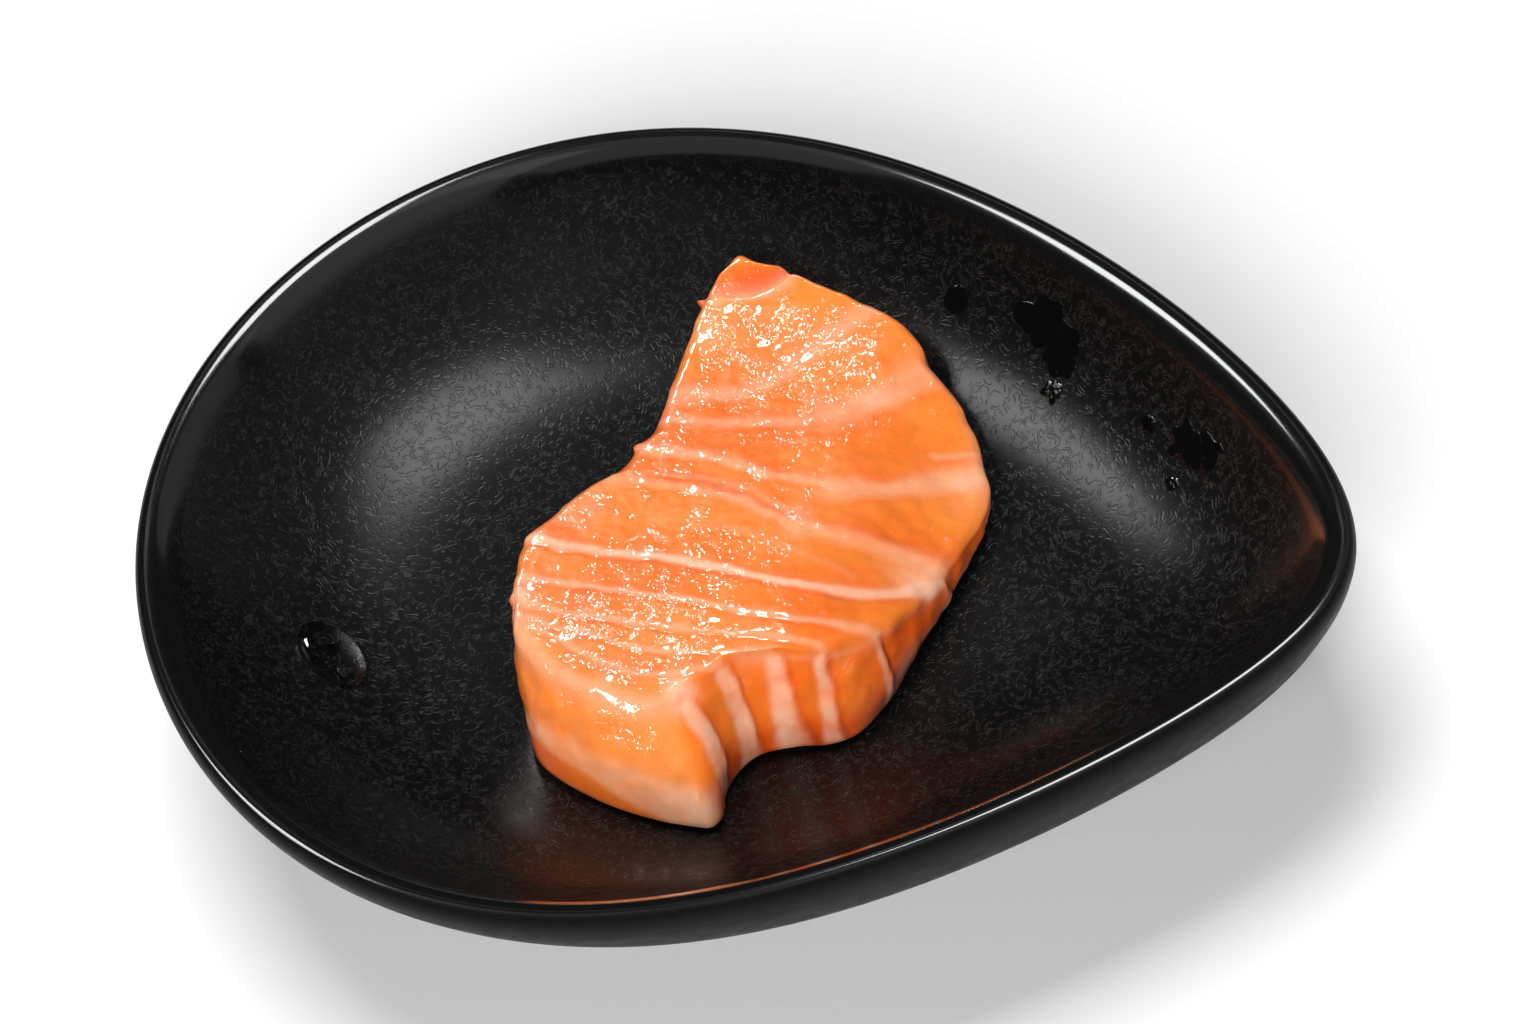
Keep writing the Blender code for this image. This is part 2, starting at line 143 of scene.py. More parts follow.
# Pale fat lines on top: half width, paleness, groove depth, and points, all in millimetres
FAT_LINES = (
    (0.62, 0.84, 0.21, ((-26.6, -2.7), (-25.0, -3.0), (-22.5, -3.9), (-18.0, -4.35), (-12.0, -4.35),
        (-6.0, -4.65), (-1.5, -5.25), (3.0, -6.0), (7.5, -6.75), (12.0, -6.75), (16.5, -5.85),
        (19.5, -4.2), (22.5, -1.8), (24.9, 0.9))),
    (0.52, 0.46, 0.21, ((-25.5, -10.2), (-21.0, -10.6), (-15.0, -10.8), (-9.0, -11.0), (-3.0, -11.4),
        (1.5, -12.0), (6.0, -12.6), (10.5, -12.6), (15.0, -12.0), (19.2, -11.2))),
    (0.45, 0.4, 0.2, ((-25.4, -12.6), (-24.6, -13.8), (-22.5, -14.4), (-18.0, -15.1), (-12.0, -15.5),
        (-6.0, -15.8), (0.0, -15.9), (6.0, -15.8), (10.5, -15.5), (13.5, -15.7))),
    (0.4, 0.36, 0.15, ((-24.9, -16.2), (-21.0, -17.0), (-16.5, -17.7), (-13.2, -18.3), (-10.8, -18.9),
        (-6.0, -19.4), (-1.5, -19.2), (3.0, -18.8), (5.4, -18.0), (7.5, -17.8))),
    (0.55, 0.4, 0.22, ((-24.9, -16.5), (-23.1, -17.7), (-20.1, -18.6), (-17.1, -19.8), (-14.1, -21.3),
        (-11.1, -22.5), (-9.0, -23.1), (-6.0, -23.3), (-3.6, -23.0), (-1.5, -22.2), (0.6, -21.2),
        (1.8, -20.7))),
    (1.2, 0.46, 0.0, ((-24.6, -17.6), (-22.2, -20.4), (-19.5, -22.7), (-15.6, -24.4), (-12.0, -25.8),
        (-9.0, -26.9), (-6.0, -27.3), (-3.6, -26.9), (-1.8, -25.5), (-0.9, -25.0))),
    (0.62, 0.15, 0.03, ((-6.6, 1.8), (-4.5, 1.8), (0.0, 1.5), (3.0, 0.6), (6.0, -0.3), (9.0, -1.7),
        (12.0, -2.7), (15.0, -3.6))),
    (0.88, 0.3, 0.09, ((-18.3, 9.0), (-16.5, 9.45), (-13.5, 9.2), (-9.0, 8.4), (-4.5, 7.7),
        (-1.5, 6.8), (1.5, 5.6), (4.5, 4.35), (7.5, 3.6), (12.0, 3.3))),
    (1.38, 0.38, 0.09, ((7.5, 3.3), (12.0, 2.7), (16.5, 2.9), (21.0, 3.0), (24.0, 2.4))),
    (0.44, 0.24, 0.06, ((-15.0, 10.8), (-5.0, 10.2))),
    (0.5, 0.27, 0.07, ((-3.9, 9.5), (0.0, 8.4), (3.0, 6.8), (6.3, 5.4))),
    (0.88, 0.41, 0.09, ((-16.2, 15.0), (-15.0, 14.7), (-11.2, 14.7), (-8.2, 14.4), (-5.3, 14.1),
        (-2.4, 13.4), (0.6, 11.8), (5.0, 11.5), (9.4, 11.2), (12.4, 12.1))),
    (1.62, 0.48, 0.09, ((9.4, 10.6), (12.4, 11.3), (15.3, 12.5), (18.2, 14.5), (21.2, 16.7),
        (24.1, 18.7), (26.6, 21.0))),
    (0.5, 0.38, 0.03, ((20.6, 21.0), (25.0, 23.2))),
    (1.0, 0.35, 0.07, ((-14.9, 20.6), (-12.9, 20.9), (-10.0, 20.6), (-5.3, 21.0), (-2.4, 21.8),
        (0.6, 21.8), (3.5, 22.4), (6.5, 23.8), (9.4, 25.3))),
    (2.0, 0.41, 0.09, ((6.5, 23.8), (9.4, 25.3), (11.2, 26.8), (12.4, 28.5), (15.0, 30.9), (16.8, 33.2))),
    (1.38, 0.38, 0.1, ((-14.4, 25.5), (-8.0, 26.5), (-3.0, 29.0), (0.0, 32.0), (2.0, 35.0),
        (5.0, 38.5), (8.5, 41.5))),
    (0.88, 0.41, 0.09, ((-12.4, 42.0), (-11.2, 42.6), (-8.2, 43.1), (-5.9, 43.8), (-3.7, 45.0))),
)
# Steps where one flake ends: reach to each side, tone above, tone below, and points
FLAKE_STEPS = (
    (3.0, -0.6, 0.15, ((-18.3, 9.2), (-9.0, 8.4), (-1.5, 6.8), (5.0, 4.2), (12.0, 3.3), (24.0, 3.4))),
    (3.0, -0.5, 0.1, ((-16.0, 15.0), (-5.3, 14.1), (0.6, 11.8), (9.4, 11.2), (15.3, 13.5), (25.5, 21.5))),
    (2.6, -0.4, -0.45, ((-14.9, 20.6), (-5.3, 21.0), (2.0, 22.1), (9.4, 25.3), (12.4, 28.5),
        (16.8, 33.2))),
    (2.6, -0.5, -0.25, ((-14.4, 25.5), (-8.0, 26.5), (-3.0, 29.0), (0.0, 32.0), (5.0, 38.5),
        (8.5, 41.5))),
    (2.2, -0.6, 0.1, ((-12.4, 43.0), (-8.2, 43.9), (-3.7, 45.8))),
    (2.2, -0.5, -0.35, ((-26.0, -3.0), (-12.0, -4.4), (-1.5, -5.3), (9.0, -6.8), (16.5, -5.9),
        (24.0, -0.6))),
    (1.8, -0.4, -0.4, ((-25.5, -10.2), (-9.0, -11.0), (1.5, -12.0), (9.0, -12.6), (18.5, -11.4))),
    (1.6, -0.4, -0.35, ((-25.0, -13.8), (-12.0, -15.5), (0.0, -15.9), (12.5, -15.3))),
    (1.4, -0.4, -0.25, ((-24.0, -17.2), (-14.1, -21.3), (-6.0, -23.3), (1.5, -20.8))),
)
# Fold at the back tip: points along its front, in millimetres
FOLD_LINE = ((-14.0, 42.2), (-11.2, 42.9), (-8.2, 43.5), (-5.4, 44.6), (-3.0, 46.4))
FOLD_BEHIND = 0.04
FOLD_HEIGHT = 0.55
FOLD_GROOVE = 0.45
# Stripes down the right side: half width, paleness, top point, bottom point
SIDE_STRIPES = (
    (1.35, 0.9, (-1.9, -25.9), (2.9, -31.0)),
    (1.35, 0.8, (1.8, -20.7), (4.8, -24.6)),
    (1.7, 0.8, (7.5, -17.7), (9.8, -21.7)),
    (1.0, 0.7, (13.0, -16.3), (14.8, -20.8)),
    (0.65, 0.6, (18.8, -11.4), (20.3, -13.6)),
    (0.5, 0.4, (24.6, 1.4), (24.0, 1.0)),
)
# Top edge of the cut right side: where its pale line starts and ends
CUT_REACH = ((5.0, -18.4), (25.0, 3.0))
# Milky patches low on the right side: foot point, depth, reach along and down, paleness
SIDE_AREAS = (
    ((18.5, -17.2), 0.8, 0.0042, 0.22, 0.1),
    ((20.8, -12.0), 0.62, 0.0022, 0.18, 0.45),
)
# Front face, from its left end to its right: where the pale band starts and ends, as shares of depth
BAND_PLACES = (0.0, 0.2, 0.45, 0.6, 0.8, 1.0)
BAND_TOP = (0.62, 0.47, 0.42, 0.43, 0.48, 0.56)
BAND_BOTTOM = (0.78, 0.68, 0.7, 0.77, 0.95, 1.25)
# Pale or deep areas on top: centre, radii, paleness, tone
TOP_AREAS = (
    ((22.8, -0.2), (3.8, 2.4), 0.62, 0.4),
    ((-2.2, -25.2), (1.3, 1.6), 0.45, 0.2),
    ((-12.6, 37.0), (1.6, 3.0), 0.3, 0.0),
    ((11.5, 27.5), (2.6, 1.8), 0.25, 0.1),
    ((25.0, 17.5), (2.4, 3.6), 0.25, 0.2),
    ((-22.5, 3.0), (3.6, 3.4), 0.28, 0.0),
    ((-25.4, -14.0), (1.1, 4.5), 0.35, 0.0),
    ((16.5, 27.5), (6.0, 3.0), 0.0, 0.2),
    ((-8.0, 45.6), (3.4, 1.4), 0.0, -0.6),
)
# Patches where the wet surface is rough enough to sparkle: centre, radii, strength
SPARKLE_AREAS = (
    ((0.5, 39.0), (6.5, 2.6), 1.0), ((8.0, 37.0), (5.0, 3.0), 0.7), ((-9.5, 33.5), (4.5, 3.6), 0.8),
    ((-8.0, 24.0), (6.5, 1.8), 0.9), ((1.0, 28.0), (6.5, 2.6), 0.9), ((8.5, 32.0), (4.5, 3.0), 0.8),
    ((-10.0, 18.0), (4.5, 1.8), 0.8), ((3.0, 18.5), (9.0, 2.0), 0.7), ((14.0, 22.0), (7.0, 3.6), 0.8),
    ((-13.0, 12.0), (4.0, 1.4), 0.8), ((10.0, 10.0), (13.0, 1.0), 0.5), ((17.0, 5.0), (6.0, 2.0), 0.8),
    ((-21.0, 3.0), (4.5, 3.0), 0.6), ((-2.0, -1.0), (9.0, 3.4), 0.8), ((-6.0, -7.6), (10.0, 2.2), 1.0),
    ((-12.0, -12.9), (10.0, 1.5), 1.0), ((-16.0, -17.4), (7.0, 2.2), 0.9), ((-2.0, -17.4), (7.0, 0.9), 0.5),
    ((-12.0, -22.3), (7.0, 1.4), 0.8), ((-3.5, -21.0), (3.0, 1.0), 0.5),
    ((13.0, 28.5), (5.0, 3.0), 0.7),
)
SPARKLE_REST = 0.12
# Colours of the meat at tones -2, -1, 0 and 1, and of its fat; the one at tone -2 is a shaded copy of the
# meat, for painted shade
MEAT_AND_SHADE_COLOURS = ((0.4, 0.04, 0.003), (0.92, 0.115, 0.005), (1.0, 0.24, 0.028), (1.0, 0.345, 0.095))
FAT_COLOUR = (0.93, 0.5, 0.33)
# Small points of flesh that stick out of the edge: place, how far, and how wide
NUBS = (
    ((-14.9, 42.4), 1.5, 0.6), ((-16.9, 15.7), 1.0, 0.8), ((-10.6, 48.0), 0.5, 1.0),
    ((-26.3, -13.2), 0.6, 0.8), ((-26.6, -3.0), 0.4, 0.9),
)

# Water drop, as in the solid model
DROP_CENTRE = (-0.0503, -0.0178)
DROP_HALF_LENGTH = 0.0057
DROP_HALF_WIDTH = 0.0036
DROP_TURN = math.radians(-45.0)
DROP_HEIGHT = 0.002
DROP_FULLNESS = 2.5
DROP_STEPS = 96
WATER_SINK = 0.00005
DOME_LOOPS = 14

# Wet marks on the back wall: centre, mean radius and how ragged, in millimetres, and a seed
WET_MARKS = (
    ((19.4, 44.6), 2.0, 0.35, 1.0),
    ((31.5, 40.0), 3.5, 0.75, 2.0),
    ((34.5, 36.4), 3.1, 0.75, 3.0),
    ((33.8, 32.4), 1.7, 0.7, 4.0),
    ((47.5, 25.6), 1.2, 0.5, 5.0),
    ((52.5, 22.0), 2.9, 0.8, 6.0),
    ((56.3, 19.8), 2.3, 0.8, 7.0),
    ((51.4, 18.2), 1.0, 0.5, 8.0),
)
WET_HEIGHT = 0.00022
WET_FULLNESS = 3.0
WET_STEPS = 120

# Lights on the dark dish and its wet marks: name, azimuth, elevation, width and height, and power
SOFTBOXES = (
    ("back_softbox", 150.0, 69.0, (0.33, 0.28), 2.7),
    ("left_softbox", 272.0, 50.0, (0.29, 0.25), 2.2),
    ("level_strip", 200.0, 51.0, (0.24, 0.012), 0.012),
    ("upright_strip", 200.0, 51.0, (0.012, 0.24), 0.012),
)
# Light that only shows in the gloss of the water: azimuth, elevation, width and height, and power
WINDOW_LIGHT = (230.0, 52.0, (0.16, 0.2), 18.0)
# Lights that show in no gloss: name, azimuth, elevation and power
FILL_LIGHTS = (
    ("front_fill", 5.0, 34.0, 13.0),
    ("top_fill", 212.0, 66.0, 11.0),
)
FILL_SIZE = (0.7, 0.5)
FILL_DISTANCE = 1.1
# Lights that only glint on the wet slice: azimuth, elevation, size and power
SPARKLE_LIGHTS = (
    (199.0, 64.0, 0.12, 0.9),
    (219.0, 35.0, 0.2, 3.3),
    (321.0, 31.0, 0.2, 2.2),
)
# Dim lights that only show in the gloss of the dish and its wet marks: azimuth, elevation, size and power
SHEEN_LIGHTS = (
    (352.0, 60.0, 0.95, 0.6),
    (70.0, 45.0, 0.95, 0.75),
    (130.0, 24.0, 0.6, 0.2),
)
LIGHT_DISTANCE = 0.8
LIGHT_AIM = (0.0, 0.0, 0.015)
WORLD_STRENGTH = 0.02
FLOOR_HALF = 6.0

# Camera: the photograph's view, with the size of its image in pixels
CAMERA_AZIMUTH = math.radians(20.24)
CAMERA_ELEVATION = math.radians(50.0)
CAMERA_ROLL = math.radians(-11.0)
CAMERA_AIM = (0.005, -0.0019, 0.027)
CAMERA_DISTANCE = 0.45
FOCAL_PIXELS = 3678.0
IMAGE_WIDTH = 1536.0
SENSOR_WIDTH = 36.0


def round_angles(count):
    return np.linspace(0.0, 2 * math.pi, count, endpoint=False)


def crest_plan(angles):
    """Egg curve of the rim's crest, before it is centred."""
    narrow, flat = CREST_NARROWING
    skew_x, skew_y = CREST_SKEW
    cosine = np.cos(angles)
    taper = 1.0 + narrow * cosine + flat * np.cos(2 * angles)
    x = cosine + skew_x * np.sin(2 * angles)
    y = CREST_WIDTH_RATIO * np.sin(angles) * taper + skew_y * (np.cos(2 * angles) - 1.0)
    return np.stack([x, y], axis=-1)


def crest(angles):
    whole = crest_plan(round_angles(CREST_TABLE_STEPS))
    low, high = whole.min(axis=0), whole.max(axis=0)
    scale = CREST_HALF_LENGTH / ((high[0] - low[0]) / 2)
    return (crest_plan(angles) - (low + high) / 2) * scale


def crest_offset(angles, distance):
    """Crest moved outwards by a distance, along its normal."""
    step = 1e-4
    along = crest(angles + step) - crest(angles - step)
    along /= np.linalg.norm(along, axis=-1, keepdims=True)
    normal = np.stack([along[..., 1], -along[..., 0]], axis=-1)
    return crest(angles) + normal * distance


TABLE_ANGLES = round_angles(CREST_TABLE_STEPS)
INNER_EDGE = crest_offset(TABLE_ANGLES, -LIP_INSIDE * MM)
INNER_EDGE_DIRECTION = np.unwrap(np.arctan2(INNER_EDGE[:, 1], INNER_EDGE[:, 0]))
INNER_EDGE_RADIUS = np.hypot(INNER_EDGE[:, 0], INNER_EDGE[:, 1])


def dish_surface(x, y):
    """Height of the dish's inner surface."""
    direction = np.arctan2(y, x)
    edge = np.interp(direction, INNER_EDGE_DIRECTION, INNER_EDGE_RADIUS, period=2 * math.pi)
    share = np.hypot(x, y) / edge
    return INNER_FLOOR + INNER_RISE * share ** INNER_POWER


def dish_slope(x, y):
    """Rise of the dish's inner surface per length, along x and along y."""
    step = 0.0002
    along_x = dish_surface(x + step, y) - dish_surface(x - step, y)
    along_y = dish_surface(x, y + step) - dish_surface(x, y - step)
    return np.array([along_x, along_y]) / (2 * step)


def with_height(plan, height):
    heights = np.broadcast_to(height, plan.shape[:-1])
    return np.concatenate([plan, heights[..., None]], axis=-1)


def on_dish(plan, lift=0.0):
    """Plan points at the height of the dish's inner surface, or lifted from it."""
    return with_height(plan, dish_surface(plan[:, 0], plan[:, 1]) + lift)


def field(points, size, shift=0.0):
    """Smooth noise from about -1 to 1 at each point, for lumps of a size in metres."""
    flat = np.asarray(points, float).reshape(-1, points.shape[-1])
    if flat.shape[1] == 2:
        flat = np.column_stack([flat, np.zeros(len(flat))])
    scaled = flat / size + shift
    return np.array([noise.noise(Vector(p)) for p in scaled]).reshape(points.shape[:-1])


def add_object(name, data):
    thing = bpy.data.objects.new(name, data)
    bpy.context.scene.collection.objects.link(thing)
    return thing


def add_piece(name, points, faces, material, node=None, attributes=None):
    """Smooth mesh piece that rides on the model, with its vertex values, and may replace a node."""
    mesh = bpy.data.meshes.new(name)
    points = np.asarray(points, np.float32).reshape(-1, 3)
    mesh.vertices.add(len(points))
    mesh.vertices.foreach_set("co", points.ravel())
    sizes = np.array([len(face) for face in faces], np.int32)
    corners = np.concatenate([np.asarray(face, np.int32) for face in faces])
    starts = np.concatenate([[0], np.cumsum(sizes)[:-1]]).astype(np.int32)
    mesh.loops.add(len(corners))
    mesh.loops.foreach_set("vertex_index", corners)
    mesh.polygons.add(len(faces))
    mesh.polygons.foreach_set("loop_start", starts)
    mesh.update(calc_edges=True)
    mesh.validate()
    mesh.shade_smooth()
    for key, values in (attributes or {}).items():
        layer = mesh.attributes.new(key, "FLOAT", "POINT")
        layer.data.foreach_set("value", np.asarray(values, np.float32).ravel())
    mesh.materials.append(material)
    piece = add_object(name, mesh)
    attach(piece, "root")
    if node:
        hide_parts(node)
    return piece


def loft_faces(first, count, loops):
    """Quads between neighbouring loops of equal length, where the first starts at an index."""
    steps = np.arange(count)
    after = (steps + 1) % count
    faces = []
    for level in range(loops - 1):
        low = first + level * count
        faces.append(np.stack([low + steps, low + after, low + count + after, low + count + steps], axis=1))
    return list(np.concatenate(faces))


def fan_faces(loop_start, count, centre, outward=True):
    steps = np.arange(count)
    after = (steps + 1) % count
    first, second = (steps, after) if outward else (after, steps)
    return list(np.stack([loop_start + first, loop_start + second, np.full(count, centre)], axis=1))


# Material helpers
def new_material(name):
    material = bpy.data.materials.new(name)
    material.use_nodes = True
    return material, material.node_tree, material.node_tree.nodes["Principled BSDF"]


def put(tree, target, key, value):
    """Sets a socket to a value, or links another socket to it."""
    if isinstance(value, bpy.types.NodeSocket):
        tree.links.new(value, target.inputs[key])
    else:
        target.inputs[key].default_value = value


def put_all(tree, target, **sockets):
    """Sets or links sockets by their names, with _ for each space."""
    for key, value in sockets.items():
        put(tree, target, key.replace("_", " "), value)


def make_node(tree, kind, settings=None, **sockets):
    node = tree.nodes.new(kind)
    for key, value in (settings or {}).items():
        setattr(node, key, value)
    put_all(tree, node, **sockets)
    return node


def object_place(tree):
    return make_node(tree, "ShaderNodeTexCoord").outputs["Object"]


def maths(tree, operation, first, second=0.0, clamp=False):
    node = make_node(tree, "ShaderNodeMath", {"operation": operation, "use_clamp": clamp})
    put(tree, node, 0, first)
    put(tree, node, 1, second)
    return node.outputs[0]


def times(tree, first, second, clamp=False):
    return maths(tree, "MULTIPLY", first, second, clamp)


def mix_colour(tree, share, first, second):
    node = make_node(tree, "ShaderNodeMix", {"data_type": "RGBA"})
    for index, value in ((0, share), (6, first), (7, second)):
        put(tree, node, index, (*value, 1.0) if isinstance(value, tuple) else value)
    return node.outputs[2]


def span(tree, value, low, high, new_low=0.0, new_high=1.0, kind="LINEAR"):
    """Value carried from one range to another, and held at the ends of the new one."""
    node = make_node(tree, "ShaderNodeMapRange", {"clamp": True, "interpolation_type": kind},
                     Value=value, From_Min=low, From_Max=high, To_Min=new_low, To_Max=new_high)
    return node.outputs["Result"]


def noise_at(tree, place, scale, detail=2.0, roughness=0.5, distortion=0.0):
    node = make_node(tree, "ShaderNodeTexNoise", Vector=place, Scale=scale, Detail=detail,
                     Roughness=roughness, Distortion=distortion)
    return node.outputs["Fac"]


def rounded(tree, value, low, high):
    """0 below low, 1 above high and a smooth rise between them."""
    return span(tree, value, low, high, kind="SMOOTHSTEP")


def attribute(tree, name):
    return make_node(tree, "ShaderNodeAttribute", {"attribute_name": name}).outputs["Fac"]


def bump(tree, height, strength, distance, normal=None):
    node = make_node(tree, "ShaderNodeBump", Height=height, Strength=strength, Distance=distance)
    if normal is not None:
        tree.links.new(normal, node.inputs["Normal"])
    return node.outputs["Normal"]


# Dish
def smooth_section(loops, knots):
    """More loops between the given ones, on smooth curves through their points."""
    slopes = np.zeros_like(loops)
    spans = np.diff(knots)
    rates = np.diff(loops, axis=0) / spans[:, None, None]
    weight = (spans[:-1] / (spans[:-1] + spans[1:]))[:, None, None]
    slopes[1:-1] = rates[:-1] * (1 - weight) + rates[1:] * weight
    slopes[0], slopes[-1] = rates[0], rates[-1]
    fine = []
    for index, length in enumerate(spans):
        for t in np.linspace(0.0, 1.0, SECTION_STEPS, endpoint=False):
            rise = t * t * (3 - 2 * t)
            fine.append(loops[index] * (1 - rise) + loops[index + 1] * rise
                        + slopes[index] * length * t * (1 - t) ** 2
                        - slopes[index + 1] * length * t * t * (1 - t))
    fine.append(loops[-1])
    return fine


def make_dish(material, outer_material):
    """Shell of the dish, as loops from its foot up the wall, over the lip and down to its middle."""
    angles = round_angles(DISH_STEPS)
    widest = crest_offset(angles, LIP_SECTION[0][0] * MM)
    inner_edge = crest_offset(angles, -LIP_INSIDE * MM)
    control = []
    for scale, height in FOOT_SECTION + WALL_SECTION:
        lean = np.array(WALL_LEAN) * min(1.0, (1.0 - scale) / LEAN_FULL_AT)
        control.append(with_height(widest * scale + lean, height * MM))
    for distance, height in LIP_SECTION:
        control.append(with_height(crest_offset(angles, distance * MM), height * MM))
    control.append(on_dish(inner_edge * INNER_TOP_SHARE))
    control = np.array(control)
    steps = np.linalg.norm(np.diff(control, axis=0), axis=-1).mean(axis=1)
    knots = np.concatenate([[0.0], np.cumsum(steps)])
    loops = smooth_section(control, knots)
    outer_count = len(loops)
    for share in np.linspace(INNER_TOP_SHARE, 0.0, INNER_STEPS + 1)[1:-1]:
        loops.append(on_dish(inner_edge * share))
    points = np.concatenate(loops)
    points[:, 2] = np.maximum(points[:, 2], 0.0)
    centres = [(WALL_LEAN[0], WALL_LEAN[1], FOOT_SECTION[0][1] * MM), (0.0, 0.0, INNER_FLOOR)]
    faces = loft_faces(0, DISH_STEPS, len(loops))
    faces += fan_faces(0, DISH_STEPS, len(points), outward=False)
    faces += fan_faces((len(loops) - 1) * DISH_STEPS, DISH_STEPS, len(points) + 1)
    order = np.arange(len(loops))
    inside, lip_end = (smooth_step((order - (outer_count - before)) / over)
                       for before, over in (INSIDE_BEGINS, LIP_ENDS))
    crest_order = (len(FOOT_SECTION) + len(WALL_SECTION) + LIP_CREST) * SECTION_STEPS
    lip = smooth_step((order - crest_order + SECTION_STEPS) / SECTION_STEPS) * (1.0 - lip_end)
    values = {}
    for key, rows, ends in (("inside", inside, (0.0, 1.0)), ("lip", lip, (0.0, 0.0))):
        values[key] = np.concatenate([np.repeat(rows, DISH_STEPS), ends])
    piece = add_piece("dish_shell", np.concatenate([points, centres]), faces, material,
                      node="dish", attributes=values)
    piece.data.materials.append(outer_material)
    outer_loops = crest_order - SECTION_STEPS
    kinds = np.zeros(len(faces), np.int32)
    kinds[:outer_loops * DISH_STEPS] = 1
    fan_start = (len(loops) - 1) * DISH_STEPS
    kinds[fan_start:fan_start + DISH_STEPS] = 1
    piece.data.polygons.foreach_set("material_index", kinds)
    return piece


def glaze_material():
    material, tree, shader = new_material("black_glaze_satin")
    place = object_place(tree)
    inside = attribute(tree, "inside")
    lip = attribute(tree, "lip")
    curl_field = noise_at(tree, place, 620.0, detail=0.0, distortion=1.0)
    curls = maths(tree, "PINGPONG", times(tree, curl_field, 5.0), 0.5)
    curls = rounded(tree, curls, 0.26, 0.48)
    breaks = rounded(tree, noise_at(tree, place, 900.0, detail=0.0), 0.34, 0.52)
    curls = times(tree, curls, breaks)
    grain = noise_at(tree, place, 4200.0, detail=1.0)
    relief = maths(tree, "ADD", curls, times(tree, grain, 0.1))
    relief = times(tree, relief, inside)
    normal = bump(tree, relief, 1.0, 0.000014)
    patchy = span(tree, noise_at(tree, place, 60.0, detail=3.0), 0.3, 0.7, -0.02, 0.02)
    rough = maths(tree, "ADD", span(tree, inside, 0.0, 1.0, 0.2, 0.245), patchy)
    # Curl ridges painted lighter than the glaze between them: painted sheen for the light the curls' relief
    # catches
    colour = mix_colour(tree, times(tree, curls, inside),
                        (0.0023, 0.0023, 0.0024), (0.011, 0.011, 0.0112))
    put_all(tree, shader, Base_Color=colour, Roughness=rough, Normal=normal, IOR=1.5,
            Specular_IOR_Level=0.27, Coat_Weight=lip, Coat_Roughness=0.11, Coat_IOR=1.75)
    return material


def outer_glaze_material():
    material, tree, shader = new_material("black_glaze_outer")
    place = object_place(tree)
    pits = noise_at(tree, place, 420.0, detail=3.0)
    put_all(tree, shader, Base_Color=(0.004, 0.004, 0.004, 1.0),
            Roughness=span(tree, pits, 0.3, 0.7, 0.38, 0.48),
            Normal=bump(tree, pits, 0.5, 0.0001), IOR=1.45, Specular_IOR_Level=0.1)
    return material


# Slice
def on_slice(points_mm):
    return np.array(points_mm) * MM + SLICE_PLACE


def bell(distance, width):
    return np.exp(-(distance / width) ** 2)


def smooth_curve(points_mm, count):
    """Evenly spaced points along a smooth curve through given points."""
    control = on_slice(points_mm)
    padded = np.vstack([2 * control[0] - control[1], control, 2 * control[-1] - control[-2]])
    fine = []
    for index in range(len(control) - 1):
        before, start, end, after = padded[index:index + 4]
        for t in np.linspace(0.0, 1.0, CURVE_STEPS, endpoint=False):
            bend = (2 * before - 5 * start + 4 * end - after) * t * t
            twist = (3 * start - before - 3 * end + after) * t ** 3
            fine.append(0.5 * (2 * start + (end - before) * t + bend + twist))
    fine = np.array(fine + [control[-1]])
    length = np.concatenate([[0.0], np.cumsum(np.linalg.norm(np.diff(fine, axis=0), axis=1))])
    wanted = np.linspace(0.0, length[-1], count)
    return np.stack([np.interp(wanted, length, fine[:, axis]) for axis in (0, 1)], axis=-1)


def four_sides(front, right, back, left):
    across = SALMON_ACROSS + 1
    along = SALMON_ALONG + 1
    return (smooth_curve(front, across), smooth_curve(right, along),
            smooth_curve(back, across), smooth_curve(left, along))


def outline(sides):
    """One loop round the four sides, anticlockwise from the front left corner."""
    front, right, back, left = sides
    return np.concatenate([front[:-1], right[:-1], back[:0:-1], left[:0:-1]])


def patch(sides):
    """Plan points that fill four sides, as rows from front to back."""
    front, right, back, left = sides
    u = np.linspace(0.0, 1.0, len(front))[None, :, None]
    v = np.linspace(0.0, 1.0, len(left))[:, None, None]
    between_rows = (1 - v) * front[None] + v * back[None]
    between_columns = (1 - u) * left[:, None] + u * right[:, None]
    corners = ((1 - u) * (1 - v) * front[0] + u * (1 - v) * front[-1]
               + (1 - u) * v * back[0] + u * v * back[-1])
    return between_rows + between_columns - corners


def near_line(plan, line):
    """Distance of each plan point from a polyline, its side of it, and how far along it is nearest."""
    shape = plan.shape[:-1]
    nearest = np.full(shape, np.inf)
    side = np.zeros(shape)
    along = np.zeros(shape)
    passed = 0.0
    for start, end in zip(line[:-1], line[1:]):
        run = end - start
        length = math.hypot(*run)
        offset = plan - start
        share = np.clip((offset @ run) / (length * length), 0.0, 1.0)
        distance = np.linalg.norm(offset - share[..., None] * run, axis=-1)
        closer = distance < nearest
        nearest = np.where(closer, distance, nearest)
        side = np.where(closer, np.sign(run[0] * offset[..., 1] - run[1] * offset[..., 0]), side)
        along = np.where(closer, passed + share * length, along)
        passed += length
    return nearest, side, along / passed


def smooth_step(value):
    share = np.clip(value, 0.0, 1.0)
    return share * share * (3.0 - 2.0 * share)


def area_share(plan, centre, radii):
    """How far each point is inside a soft oval: 1 at its centre, 0 well outside."""
    offset = (plan - on_slice(centre)) / (np.array(radii) * MM)
    return np.exp(-(offset ** 2).sum(axis=-1))


def slice_thickness(x, y):
    to_back = THIN_BACK_RATE * np.maximum(0.0, y - THIN_BACK_FROM)
    to_right = THIN_RIGHT_BY * smooth_step((x - THIN_RIGHT_FROM) / THIN_RIGHT_OVER)
    return THICKEST - to_back - to_right


